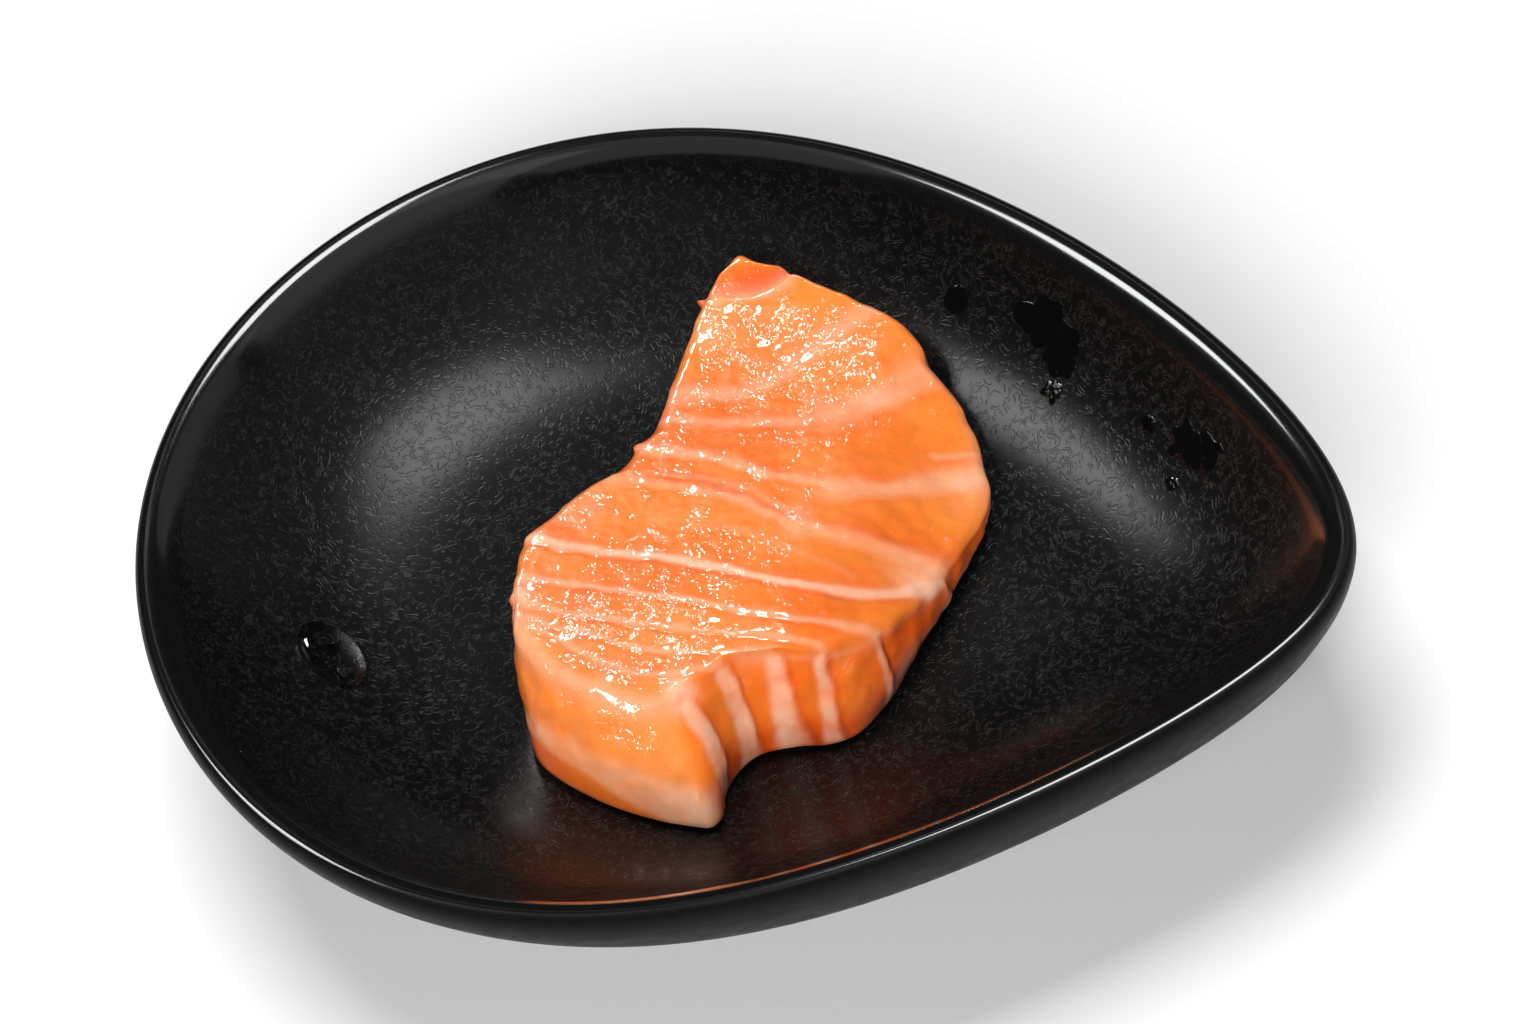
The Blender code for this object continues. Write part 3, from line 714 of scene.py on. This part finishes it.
def top_marks(plan):
    """Relief, paleness and tone of the top face. The tone holds painted shade in the creases beside the fat
    lines and at the fold.
    """
    moved = plan
    for size, reach, seeds in WANDER:
        moved = moved + np.stack([field(plan, size, seed) for seed in seeds], axis=-1) * reach
    width_change = 1.0 + 0.45 * field(plan, 0.004, 6.6)
    from_edge = smooth_step(edge_distance(plan) / MARKS_FADE_FROM_EDGE)
    relief = np.zeros(plan.shape[:-1])
    pale = np.zeros(plan.shape[:-1])
    tone = 0.26 * field(plan, 0.009, 2.2) + 0.16 * field(plan, 0.003, 4.4)
    for half_width, strength, depth, line in FAT_LINES:
        distance, side, along = near_line(moved, smooth_curve(line, LINE_STEPS))
        ends = 1.0 + 0.5 * (2 * along - 1) ** 4
        reach = half_width * MM * width_change * ends
        share = np.exp(-(distance / reach) ** 2.6)
        crease = bell(side * distance + 1.45 * reach, CREASE_WIDTH)
        pale = np.maximum(pale, strength * share)
        pale += 0.1 * strength * (1.0 - pale) * bell(distance, 2.4 * reach)
        # Darker along the crease beside each fat line: painted shade
        tone -= 0.4 * strength * crease
        relief += (0.02 * share - 0.25 * depth * crease * from_edge) * MM
        relief -= 0.3 * depth * MM * bell(distance, DIP_WIDTH) * from_edge
    for reach, above, below, line in FLAKE_STEPS:
        distance, side, _ = near_line(moved, smooth_curve(line, LINE_STEPS))
        fade = np.exp(-distance / (reach * MM))
        upper = smooth_step(0.5 + side * distance / FLAKE_STEP_WIDTH)
        tone += (below + (above - below) * upper) * fade
        relief += (-0.05 + 0.15 * upper) * MM * fade * from_edge
    for centre, radii, paleness, shade in TOP_AREAS:
        share = area_share(moved, centre, radii)
        pale = np.maximum(pale, pale + paleness * share)
        tone += shade * share
    distance, side, _ = near_line(moved, smooth_curve(FOLD_LINE, 30))
    behind = (side > 0) & (plan[..., 1] > FOLD_BEHIND)
    crease = bell(distance, 0.00045)
    fold = np.where(behind, FOLD_HEIGHT * smooth_step(distance / 0.0013), 0.0)
    relief += fold * MM - FOLD_GROOVE * MM * crease
    # Darker in the fold's groove and just behind its crease: painted shadow line at the fold
    tone -= 0.9 * np.where(behind, np.exp(-distance / 0.0008), crease)
    for size, swell, seed in TOP_UNEVEN:
        relief += swell * field(plan, size, seed)
    return relief, pale, tone


def sparkle_share(plan):
    share = np.full(plan.shape[:-1], SPARKLE_REST)
    for centre, radii, strength in SPARKLE_AREAS:
        share = np.maximum(share, strength * area_share(plan, centre, radii))
    return share


def edge_distance(plan):
    rows, columns = plan.shape[:2]
    u = np.linspace(0.0, 1.0, columns)[None, :]
    v = np.linspace(0.0, 1.0, rows)[:, None]
    row_length = np.linalg.norm(plan[:, -1] - plan[:, 0], axis=-1)[:, None]
    column_length = np.linalg.norm(plan[-1] - plan[0], axis=-1)[None, :]
    return np.minimum(np.minimum(u, 1 - u) * row_length, np.minimum(v, 1 - v) * column_length)


def outward_normals(loop):
    along = np.roll(loop, -3, axis=0) - np.roll(loop, 3, axis=0)
    along /= np.linalg.norm(along, axis=1, keepdims=True)
    return np.stack([along[:, 1], -along[:, 0]], axis=-1)


def side_marks(edge, foot, depths, top_pale, top_tone):
    """Paleness, tone and relief of the side, a row for each depth from 0 at the top edge to 1 at the foot.
    The tone holds painted shade: dark lines beside the stripes, and darkening of the far part and towards the
    foot.
    """
    count = len(edge)
    index = np.arange(count)
    spacing = np.linalg.norm(np.roll(edge, -1, axis=0) - edge, axis=1)
    travel = np.concatenate([[0.0], np.cumsum(spacing)[:-1]])
    from_corner = np.where(index > count - FRONT_RUN_OUT, index - count, index)
    across = np.clip(from_corner / SALMON_ACROSS, 0.0, 1.0)
    front = smooth_step((SALMON_ACROSS * 1.01 - from_corner) / (SALMON_ACROSS * 0.04))
    front = front * smooth_step(1.0 + from_corner / FRONT_RUN_OUT)

    def nearest(loop, point):
        return np.linalg.norm(loop - on_slice(point), axis=1).argmin()

    cut_start, cut_end = (travel[nearest(edge, point)] for point in CUT_REACH)
    on_cut = smooth_step((travel - cut_start) / 0.004) * smooth_step((cut_end - travel) / 0.002)
    pale_rows, tone_rows, relief_rows = [], [], []
    for depth in depths:
        plan = edge * (1 - depth) + foot * depth
        place = with_height(plan, depth * 0.012)
        wobble = 0.0005 * field(place, 0.0035, 2.7) + 0.00018 * field(place, 0.0012, 6.2)
        fade = math.exp(-(depth / 0.1) ** 2)
        pale = top_pale * fade
        tone = top_tone * fade + 0.35 * field(place, 0.006, 7.0) - 0.25
        relief = np.zeros(count)
        for half_width, strength, top_point, foot_point in SIDE_STRIPES:
            ends = nearest(edge, top_point) * (1 - depth) + nearest(foot, foot_point) * depth
            signed = travel - np.interp(ends, index, travel) + wobble
            reach = half_width * MM * (0.75 + 0.45 * depth)
            share = np.exp(-(np.abs(signed) / reach) ** 5)
            pale = np.maximum(pale, strength * share * (0.9 + 0.5 * field(place, 0.0022, 9.4)))
            # Dark line beside each stripe: painted shade
            tone = tone - 0.45 * bell(signed - 1.35 * reach, 0.0005)
            swell = np.exp(-np.maximum(0.0, reach - signed) / 0.0022)
            relief += 0.42 * MM * swell * (1.0 - smooth_step((signed - 0.9 * reach) / 0.0006))
        for point, middle, along, down, strength in SIDE_AREAS:
            offset = (travel - travel[nearest(foot, point)]) / along
            pale = pale + strength * np.exp(-offset ** 2 - ((depth - middle) / down) ** 2)
        pale = np.maximum(pale, 0.5 * on_cut * math.exp(-(depth / 0.05) ** 2))
        # The far part of the side and its lower part are painted darker: painted shade
        far_side = smooth_step((travel - cut_end + 0.02) / 0.01)
        tone = tone - 0.6 * far_side - (0.9 + 0.9 * far_side) * smooth_step((depth - 0.5) / 0.4)
        band_top = np.interp(across, BAND_PLACES, BAND_TOP) + wobble * 90.0
        band_bottom = np.interp(across, BAND_PLACES, BAND_BOTTOM) + wobble * 60.0
        band = smooth_step((depth - band_top) / 0.16) * (1.0 - smooth_step((depth - band_bottom) / 0.09))
        band = band * (0.42 + 0.2 * field(place, 0.003, 3.3) + 0.25 * smooth_step((across - 0.75) / 0.2)
                       + 0.12 * smooth_step((0.15 - across) / 0.1))
        upper = math.exp(-(depth / 0.09) ** 2) * 0.25
        front_pale = np.clip(band + upper, 0.0, 1.0)
        pale = pale * (1 - front) + np.maximum(pale * 0.7, front_pale) * front
        front_tone = 0.3 + 0.3 * smooth_step((across - 0.2) / 0.5) - 0.45 * (1 - across) * math.exp(
            -((depth - 0.45) / 0.2) ** 2)
        # Front face darker below the pale band, most at its left end: painted shade at the foot
        front_tone = front_tone - (0.15 + 0.6 * (1 - across)) * smooth_step((depth - band_bottom) / 0.1)
        tone = tone * (1 - 0.6 * front) + front_tone * front
        toe = bell(travel - travel[SALMON_ACROSS] + 0.0008, 0.003) * smooth_step((depth - 0.6) / 0.25)
        pale = np.maximum(pale, 0.95 * toe)
        tone = tone + 1.2 * toe
        pale_rows.append(np.clip(pale, 0.0, 1.0))
        tone_rows.append(tone)
        relief_rows.append(relief * smooth_step(depth / 0.12) * (1.0 - smooth_step((depth - 0.75) / 0.25)))
    return np.array(pale_rows), np.array(tone_rows), np.array(relief_rows)


def ease_corner(ring, corner, reach):
    """Loop with one of its corners rounded, by averaging over a number of points to each side."""
    eased = ring
    for _ in range(2):
        eased = sum(np.roll(eased, step, axis=0) for step in range(-reach, reach + 1)) / (2 * reach + 1)
    count = len(ring)
    gap = (np.arange(count) - corner + count // 2) % count - count // 2
    share = bell(gap, 2.2 * reach)[:, None]
    return ring * (1 - share) + eased * share


def make_salmon(material):
    """Closed slice: its marked top, its sides down to the foot, and its underside on the dish."""
    top_sides = four_sides(TOP_FRONT, TOP_RIGHT, TOP_BACK, TOP_LEFT)
    plan = patch(top_sides)
    rows, columns = plan.shape[:2]
    grid = np.arange(rows * columns).reshape(rows, columns)
    boundary = outline((grid[0], grid[:, -1], grid[-1], grid[:, 0]))
    edge_plan = plan.reshape(-1, 2)[boundary]
    foot = outline(four_sides(FOOT_FRONT, FOOT_RIGHT, FOOT_BACK, FOOT_LEFT))
    count = len(boundary)

    relief, pale, tone = top_marks(plan)
    rounding = np.clip(1.0 - edge_distance(plan) / EDGE_ROUND, 0.0, 1.0)
    v = np.linspace(0.0, 1.0, rows)[:, None]
    from_front = v * np.linalg.norm(plan[-1] - plan[0], axis=-1)[None, :]
    front_round = np.clip(1.0 - from_front / FRONT_ROUND, 0.0, 1.0)
    height = dish_surface(plan[..., 0], plan[..., 1]) + GAP + slice_thickness(plan[..., 0], plan[..., 1])
    drop = EDGE_DROP * rounding ** 2 + FRONT_DROP * front_round ** 2
    top = with_height(plan, height + relief - drop).reshape(-1, 3)

    depths = np.linspace(0.0, 1.0, SIDE_STEPS + 1)
    foot_points = on_dish(foot, GAP + EDGE_DROP)
    edge = top[boundary]
    normals = with_height(outward_normals(foot), 0.0)
    flat_pale, flat_tone = pale.reshape(-1), tone.reshape(-1)
    side_pale, side_tone, side_relief = side_marks(
        edge_plan, foot, depths, flat_pale[boundary], flat_tone[boundary])
    layers = []
    for level, depth in enumerate(depths[1:], start=1):
        ring = edge * (1 - depth) + foot_points * depth
        swell = SIDE_BULGE * math.sin(math.pi * depth) + side_relief[level]
        rough = 0.00026 * field(ring, 0.004, 1.3) + 0.0001 * field(ring, 0.0014, 4.1)
        ring = ring + normals * (swell + rough * math.sin(math.pi * depth))[:, None]
        eased = ease_corner(ease_corner(ring, SALMON_ACROSS, CORNER_POINTS), 0, CORNER_POINTS)
        share = min(1.0, depth / 0.15)
        layers.append(ring * (1 - share) + eased * share)
    centre = on_slice(FOOT_CENTRE)
    under_layers = [on_dish(centre + (foot - centre) * share, GAP) for share in UNDER_LOOPS]
    middle = np.array([[*centre, float(dish_surface(*centre)) + GAP]])

    upper = np.concatenate([top, *layers])
    fade = np.concatenate([np.ones(len(top)), np.repeat(1.0 - depths[1:] ** 3, count)])
    for axis, seed in ((0, 11.3), (1, 17.9)):
        upper[:, axis] += EDGE_UNEVEN * fade * field(upper, 0.003, seed)
    points = np.concatenate([upper, *under_layers, middle])
    for place, out, width in NUBS:
        index = np.linalg.norm(edge_plan - on_slice(place), axis=1).argmin()
        spot = edge[index] - (0.0, 0.0, 0.0006)
        push = np.append(outward_normals(edge_plan)[index], 0.25) * out * MM
        gap = np.linalg.norm(points - spot, axis=1)
        points = points + bell(gap, width * MM)[:, None] * push

    quads = np.stack([grid[:-1, :-1], grid[:-1, 1:], grid[1:, 1:], grid[1:, :-1]], axis=-1)
    faces = list(quads.reshape(-1, 4))
    first = rows * columns
    steps = np.arange(count)
    after = (steps + 1) % count
    faces += list(np.stack([boundary[after], boundary[steps], first + steps, first + after], axis=1))
    loops = len(layers) + len(under_layers)
    side_faces = loft_faces(first, count, loops)
    faces += [face[::-1] for face in side_faces]
    faces += fan_faces(first + (loops - 1) * count, count, first + loops * count, outward=False)

    sparkle = sparkle_share(plan).reshape(-1)
    side_sparkle = np.full((len(layers), count), SPARKLE_REST)
    across = np.clip(steps / SALMON_ACROSS, 0.0, 1.0)
    on_front = steps < SALMON_ACROSS
    for level, depth in enumerate(depths[1:]):
        glint = bell(depth - 0.24, 0.17) * bell(across - 0.76, 0.17)
        side_sparkle[level] = np.where(on_front, np.maximum(SPARKLE_REST, glint), SPARKLE_REST * 0.6)
    under_count = len(under_layers) * count + 1
    values = {
        "pale": np.concatenate([flat_pale, side_pale[1:].ravel(), np.full(under_count, 0.2)]),
        "tone": np.concatenate([flat_tone, side_tone[1:].ravel(), np.zeros(under_count)]),
        "sparkle": np.concatenate([sparkle, side_sparkle.ravel(), np.zeros(under_count)]),
    }
    return add_piece("salmon_flesh_cut", points, faces, material,
                     node="salmon_slice", attributes=values)


def salmon_material():
    material, tree, shader = new_material("raw_salmon")
    place = object_place(tree)
    pale = attribute(tree, "pale")
    tone = attribute(tree, "tone")
    sparkle = attribute(tree, "sparkle")
    mottle = noise_at(tree, place, 700.0, detail=3.0, roughness=0.6)
    tone = maths(tree, "ADD", tone, span(tree, mottle, 0.3, 0.7, -0.12, 0.12))
    tone = maths(tree, "SUBTRACT", tone, times(tree, sparkle, 0.2))
    # The tone runs down to the shaded meat colour at -2 wherever shade is painted in
    colour, *lighter_colours = MEAT_AND_SHADE_COLOURS
    for low, lighter in zip((-2.0, -1.0, 0.0), lighter_colours):
        colour = mix_colour(tree, span(tree, tone, low, low + 1.0), colour, lighter)
    pale = times(tree, pale, span(tree, mottle, 0.25, 0.75, 0.85, 1.1), clamp=True)
    colour = mix_colour(tree, pale, colour, FAT_COLOUR)
    squiggle_field = noise_at(tree, place, 600.0, detail=1.0, roughness=0.4, distortion=1.1)
    squiggles = maths(tree, "PINGPONG", times(tree, squiggle_field, 3.4), 0.5)
    squiggles = rounded(tree, squiggles, 0.12, 0.5)
    clusters = noise_at(tree, place, 330.0, detail=1.0)
    wet = maths(tree, "ADD", sparkle, span(tree, clusters, 0.3, 0.7, -0.42, 0.42))
    squiggle_share = rounded(tree, wet, 0.2, 0.5)
    cells = make_node(tree, "ShaderNodeTexVoronoi", Vector=place, Scale=1350.0)
    beads = maths(tree, "SUBTRACT", 1.0, times(tree, cells.outputs["Distance"], 2.4), clamp=True)
    beads = times(tree, beads, rounded(tree, wet, 0.0, 0.3))
    beads = times(tree, beads, rounded(tree, cells.outputs["Color"], 0.5, 0.56))
    relief = times(tree, squiggles, times(tree, squiggle_share, 0.056))
    relief = maths(tree, "ADD", relief, times(tree, beads, 0.062))
    soft = noise_at(tree, place, 420.0, detail=2.0)
    gentle = bump(tree, soft, 0.3, 0.0004)
    wet_normal = bump(tree, relief, 1.0, 0.001, gentle)
    put_all(tree, shader, Base_Color=colour, Roughness=0.42, IOR=1.38, Normal=gentle,
            Subsurface_Weight=0.35, Subsurface_Radius=(1.0, 0.32, 0.12), Subsurface_Scale=0.0014,
            Coat_Weight=span(tree, pale, 0.2, 0.7, 1.0, 0.35), Coat_Roughness=0.055, Coat_IOR=1.75,
            Coat_Normal=wet_normal)
    return material


# Water
def water_material():
    material, tree, shader = new_material("water_tinted_dark")
    place = object_place(tree)
    ripples = noise_at(tree, place, 500.0, detail=1.0)
    # The water is tinted grey so that the drop shows darker: painted shade
    put_all(tree, shader, Base_Color=(0.42, 0.42, 0.42, 1.0), Roughness=0.02, IOR=1.33,
            Transmission_Weight=1.0, Normal=bump(tree, ripples, 0.05, 0.0001))
    return material


def film_material():
    """Water film on the black glaze, which shows darker than the dry glaze round it."""
    material, tree, shader = new_material("water_film")
    place = object_place(tree)
    ripples = noise_at(tree, place, 1400.0, detail=2.0)
    put_all(tree, shader, Base_Color=(0.0015, 0.0015, 0.0016, 1.0), IOR=1.33,
            Roughness=span(tree, ripples, 0.3, 0.7, 0.04, 0.1),
            Normal=bump(tree, ripples, 0.6, 0.0002))
    return material


def add_dome(name, centre, rim, height, fullness, material, node=None):
    """Low dome of water over a plan outline round a centre, with its flat underside first."""
    loops = [on_dish(centre + rim * share, -WATER_SINK) for share in (0.5, 1.0)]
    for share in np.cos(np.linspace(0.0, math.pi / 2, DOME_LOOPS))[1:-1]:
        swell = height * (1.0 - share ** fullness) ** 0.5
        loops.append(on_dish(centre + rim * share, swell - WATER_SINK))
    points = np.concatenate(loops)
    count = len(rim)
    base = float(dish_surface(*centre)) - WATER_SINK
    ends = [(*centre, base), (*centre, base + height)]
    faces = loft_faces(0, count, len(loops))
    faces += fan_faces(0, count, len(points), outward=False)
    faces += fan_faces((len(loops) - 1) * count, count, len(points) + 1)
    return add_piece(name, np.concatenate([points, ends]), faces, material, node=node)


def make_drop(material):
    angles = round_angles(DROP_STEPS)
    oval = np.stack([DROP_HALF_LENGTH * np.cos(angles), DROP_HALF_WIDTH * np.sin(angles)], axis=-1)
    turn = np.array([[math.cos(DROP_TURN), math.sin(DROP_TURN)],
                     [-math.sin(DROP_TURN), math.cos(DROP_TURN)]])
    return add_dome("drop_of_water", np.array(DROP_CENTRE), oval @ turn, DROP_HEIGHT + GAP, DROP_FULLNESS,
                    material, node="water_drop")


def make_wet_marks(material):
    """Wet patches with ragged outlines, shortened along the slope of the wall."""
    angles = round_angles(WET_STEPS)
    ring = np.stack([np.cos(angles), np.sin(angles)], axis=-1)
    marks = []
    for number, (centre, radius, ragged, seed) in enumerate(WET_MARKS, start=1):
        shape = field(ring, 1.1, seed) + field(ring, 0.5, seed + 20.0) * 0.35
        radii = radius * MM * np.clip(1.0 + ragged * shape, 0.35, None)
        middle = np.array(centre) * MM
        rise = dish_slope(*middle)
        steepness = np.linalg.norm(rise)
        uphill = rise / steepness
        rim = ring * radii[:, None]
        rim = rim - (1.0 - 1.0 / math.hypot(1.0, steepness)) * (rim @ uphill)[:, None] * uphill
        marks.append(add_dome(f"wet_mark_{number}", middle, rim, WET_HEIGHT, WET_FULLNESS, material))
    return marks


# Floor, light and camera
def make_floor():
    mesh = bpy.data.meshes.new("floor")
    corners = [(x * FLOOR_HALF, y * FLOOR_HALF, 0.0) for x, y in ((-1, -1), (1, -1), (1, 1), (-1, 1))]
    mesh.from_pydata(corners, [], [(0, 1, 2, 3)])
    material, tree, shader = new_material("pale_floor")
    put_all(tree, shader, Base_Color=(0.86, 0.86, 0.86, 1.0), Roughness=0.9)
    mesh.materials.append(material)
    floor = add_object("floor", mesh)


def add_light(name, azimuth, elevation, size, power, group=None, distance=LIGHT_DISTANCE):
    """Soft rectangular light on a group of pieces. Azimuth 0 is in front, at -Y, and 90 at the right."""
    around, above = math.radians(azimuth), math.radians(elevation)
    direction = Vector((math.sin(around) * math.cos(above), -math.cos(around) * math.cos(above),
                        math.sin(above)))
    data = bpy.data.lights.new(name, "AREA")
    data.shape = "RECTANGLE"
    data.size, data.size_y = size
    data.energy = power
    light = add_object(name, data)
    light.location = Vector(LIGHT_AIM) + direction * distance
    light.rotation_mode = "QUATERNION"
    light.rotation_quaternion = (-direction).to_track_quat("-Z", "Y")
    if group is not None:
        light.light_linking.receiver_collection = group
    return light


def light_group(name, pieces):
    """Collection of the pieces that a light shows on."""
    group = bpy.data.collections.new(name)
    for piece in pieces:
        group.objects.link(piece)
    return group


def make_lights(dish, salmon, drop, wet_marks):
    dark_pieces = light_group("dark_pieces", [dish, *wet_marks])
    for name, azimuth, elevation, size, power in SOFTBOXES:
        add_light(name, azimuth, elevation, size, power, dark_pieces)
    for number, (azimuth, elevation, size, power) in enumerate(SHEEN_LIGHTS, start=1):
        sheen = add_light(f"sheen_light_{number}", azimuth, elevation, (size, size), power, dark_pieces)
        sheen.visible_diffuse = False
    window = add_light("window_light", *WINDOW_LIGHT, light_group("water_pieces", [drop, *wet_marks]))
    window.visible_diffuse = False
    slice_alone = light_group("slice_alone", [salmon])
    for number, (azimuth, elevation, size, power) in enumerate(SPARKLE_LIGHTS, start=1):
        glint = add_light(f"sparkle_light_{number}", azimuth, elevation, (size, size), power, slice_alone)
        glint.visible_diffuse = False
        glint.data.cycles.max_bounces = 0
    for name, azimuth, elevation, power in FILL_LIGHTS:
        fill = add_light(name, azimuth, elevation, FILL_SIZE, power, distance=FILL_DISTANCE)
        fill.visible_glossy = False
    world = bpy.data.worlds.new("studio")
    bpy.context.scene.world = world
    world.use_nodes = True
    background = world.node_tree.nodes["Background"]
    background.inputs["Color"].default_value = (1.0, 1.0, 1.0, 1.0)
    background.inputs["Strength"].default_value = WORLD_STRENGTH


def make_camera():
    azimuth, elevation, roll = CAMERA_AZIMUTH, CAMERA_ELEVATION, CAMERA_ROLL
    back = Vector((math.cos(elevation) * math.sin(azimuth), -math.cos(elevation) * math.cos(azimuth),
                   math.sin(elevation)))
    level = Vector((math.cos(azimuth), math.sin(azimuth), 0.0))
    up = back.cross(level)
    right = math.cos(roll) * level + math.sin(roll) * up
    top = -math.sin(roll) * level + math.cos(roll) * up
    data = bpy.data.cameras.new("camera")
    data.sensor_width = SENSOR_WIDTH
    data.lens = FOCAL_PIXELS / IMAGE_WIDTH * SENSOR_WIDTH
    data.clip_start = 0.01
    data.clip_end = 50.0
    camera = add_object("camera", data)
    place = Vector(CAMERA_AIM) + back * CAMERA_DISTANCE
    camera.matrix_world = Matrix((
        (right.x, top.x, back.x, place.x),
        (right.y, top.y, back.y, place.y),
        (right.z, top.z, back.z, place.z),
        (0.0, 0.0, 0.0, 1.0),
    ))
    bpy.context.scene.camera = camera


bpy.context.scene.view_settings.view_transform = "Standard"
make_camera()
make_floor()
dish_piece = make_dish(glaze_material(), outer_glaze_material())
salmon_piece = make_salmon(salmon_material())
drop_piece = make_drop(water_material())
mark_pieces = make_wet_marks(film_material())
make_lights(dish_piece, salmon_piece, drop_piece, mark_pieces)
